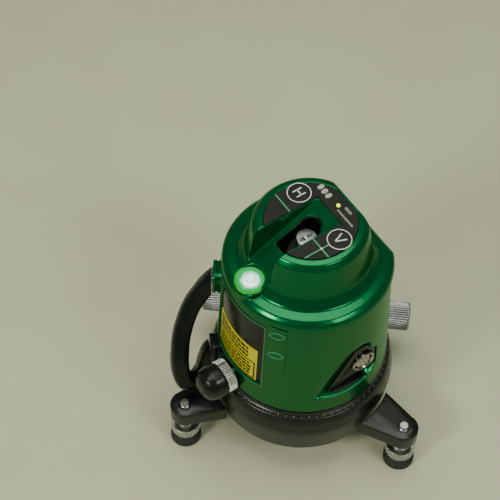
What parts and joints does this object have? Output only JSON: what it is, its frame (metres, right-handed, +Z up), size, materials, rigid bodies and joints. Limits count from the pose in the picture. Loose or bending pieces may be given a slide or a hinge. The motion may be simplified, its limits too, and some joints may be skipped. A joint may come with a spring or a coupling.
{
  "type": "rotating laser level",
  "caption": "Self-levelling laser level: a gimballed laser pendulum in a rounded body that turns on an azimuth base with levelling screws.",
  "frame": {"origin": "on the turning axis, at the surface the feet stand on", "axes": "+Z up along the turning axis; -Y is the instrument's front, with the vial, window and label"},
  "size_m": [0.206, 0.2118, 0.2328],
  "materials": {
    "body_green": "metallic green lacquer, gloss",
    "black_plastic": "satin black moulding",
    "key_film": "dark printed membrane",
    "key_print": "printed key face",
    "led_lime": "clear lamp lens",
    "vial_glass": "clear, lit green from below",
    "vial_collar": "translucent green",
    "window_glass": "dark tinted, polished",
    "label_yellow": "printed label film",
    "satin_silver": "satin, fine ribs",
    "knob_grey": "bead blasted, fluted",
    "nickel": "nickel plated",
    "brass": "turned",
    "insert_cream": "moulded contact insert",
    "aluminium": "machined",
    "board_green": "circuit board",
    "battery_wrap": "cell wrap",
    "rubber": "matt rubber"
  },
  "bodies": {
    "base": {"base_housing": "black_plastic", "azimuth_dial_ring": "black_plastic", "base_plate": "black_plastic", "tripod_bush": "brass", "turntable_bearing": "nickel", "leg_arm_1": "black_plastic", "leg_arm_2": "black_plastic", "leg_arm_3": "black_plastic"},
    "foot_1": {"foot_pad_1": "rubber"},
    "screw_1": {"levelling_screw_1": "satin_silver"},
    "foot_2": {"foot_pad_2": "rubber"},
    "screw_2": {"levelling_screw_2": "satin_silver"},
    "foot_3": {"foot_pad_3": "rubber"},
    "screw_3": {"levelling_screw_3": "satin_silver"},
    "wheel": {"worm_wheel": "brass"},
    "worm": {"worm_shaft": "nickel", "fine_knob_left": "knob_grey", "fine_knob_right": "knob_grey"},
    "instrument": {"body_shell": "body_green", "body_floor": "aluminium", "turntable_hub": "aluminium", "top_cap": "body_green", "key_overlay": "key_film", "key_board": "board_green", "status_led": "led_lime", "bullseye_vial": "vial_glass", "vial_collar": "vial_collar", "vial_lamp": "vial_glass", "front_window": "window_glass", "label_plate": "label_yellow", "grip_strip": "body_green", "connector_bezel": "black_plastic", "connector_shell": "nickel", "connector_insert": "insert_cream", "carry_handle": "rubber", "handle_lug_upper": "body_green", "handle_lug_lower": "black_plastic", "lock_bracket": "aluminium", "pendulum_chassis": "aluminium", "battery_tray": "black_plastic", "battery_1": "battery_wrap", "battery_2": "battery_wrap", "battery_3": "battery_wrap", "main_board": "board_green"},
    "h_button": {"h_line_button": "key_print"},
    "v_button": {"v_line_button": "key_print"},
    "lock_knob": {"lock_knob_ring": "satin_silver", "lock_knob_cap": "black_plastic", "lock_shaft": "nickel", "lock_cam": "brass"},
    "plunger": {"lock_plunger": "nickel"},
    "door": {"battery_door": "body_green"},
    "catch": {"door_catch": "black_plastic"},
    "gimbal": {"gimbal_ring": "nickel"},
    "pendulum": {"pendulum_head": "aluminium", "pendulum_block": "aluminium", "laser_module_top": "nickel", "laser_module_front": "nickel", "laser_module_plumb": "nickel", "pendulum_weight": "brass"}
  },
  "joints": [
    {"name": "foot_1_travel", "type": "slide", "parent": "base", "child": "foot_1", "axis": [0, 0, 1], "range_m": [-0.003, 0.003]},
    {"name": "screw_1_turn", "type": "hinge", "parent": "foot_1", "child": "screw_1", "pos_m": [-0.07349, 0.06254, 0.03], "axis": [0, 0, 1], "range_deg": [-1080, 1080]},
    {"name": "foot_2_travel", "type": "slide", "parent": "base", "child": "foot_2", "axis": [0, 0, 1], "range_m": [-0.003, 0.003]},
    {"name": "screw_2_turn", "type": "hinge", "parent": "foot_2", "child": "screw_2", "pos_m": [-0.01742, -0.09491, 0.03], "axis": [0, 0, 1], "range_deg": [-1080, 1080]},
    {"name": "foot_3_travel", "type": "slide", "parent": "base", "child": "foot_3", "axis": [0, 0, 1], "range_m": [-0.003, 0.003]},
    {"name": "screw_3_turn", "type": "hinge", "parent": "foot_3", "child": "screw_3", "pos_m": [0.09091, 0.03237, 0.03], "axis": [0, 0, 1], "range_deg": [-1080, 1080]},
    {"name": "wheel_turn", "type": "hinge", "parent": "base", "child": "wheel", "pos_m": [0, 0, 0.045], "axis": [0, 0, 1], "continuous": true},
    {"name": "worm_turn", "type": "hinge", "parent": "base", "child": "worm", "pos_m": [-0.0415, 0.03532, 0.0432], "axis": [0.6481, 0.7615, 0], "continuous": true},
    {"name": "instrument_turn", "type": "hinge", "parent": "wheel", "child": "instrument", "pos_m": [0, 0, 0.0775], "axis": [0, 0, 1], "continuous": true},
    {"name": "h_button_press", "type": "slide", "parent": "instrument", "child": "h_button", "axis": [0, 0, -1], "range_m": [0, 0.0006], "stiffness_N_per_m": 800},
    {"name": "v_button_press", "type": "slide", "parent": "instrument", "child": "v_button", "axis": [0, 0, -1], "range_m": [0, 0.0006], "stiffness_N_per_m": 800},
    {"name": "lock_knob_turn", "type": "hinge", "parent": "instrument", "child": "lock_knob", "pos_m": [0, -0.06, 0.091], "axis": [0, -1, 0], "range_deg": [0, 90]},
    {"name": "plunger_lift", "type": "slide", "parent": "instrument", "child": "plunger", "axis": [0, 0, 1], "range_m": [0, 0.0027]},
    {"name": "battery_door_swing", "type": "hinge", "parent": "instrument", "child": "door", "pos_m": [0, 0.0524, 0.1599], "axis": [1, 0, 0], "range_deg": [0, 100]},
    {"name": "door_catch_slide", "type": "slide", "parent": "door", "child": "catch", "axis": [0, 0, 1], "range_m": [0, 0.003], "stiffness_N_per_m": 300},
    {"name": "gimbal_tilt", "type": "hinge", "parent": "instrument", "child": "gimbal", "pos_m": [0, 0, 0.192], "axis": [1, 0, 0], "range_deg": [-3.5, 3.5]},
    {"name": "pendulum_tilt", "type": "hinge", "parent": "gimbal", "child": "pendulum", "pos_m": [0, 0, 0.192], "axis": [0, 1, 0], "range_deg": [-3.5, 3.5]}
  ],
  "couplings": [
    {"joint": "worm_turn", "follows": "wheel_turn", "ratio": 64},
    {"joint": "plunger_lift", "follows": "lock_knob_turn", "m_per_rad": 0.001718},
    {"joint": "screw_1_turn", "follows": "foot_1_travel", "rad_per_m": 6283},
    {"joint": "screw_2_turn", "follows": "foot_2_travel", "rad_per_m": 6283},
    {"joint": "screw_3_turn", "follows": "foot_3_travel", "rad_per_m": 6283}
  ]
}
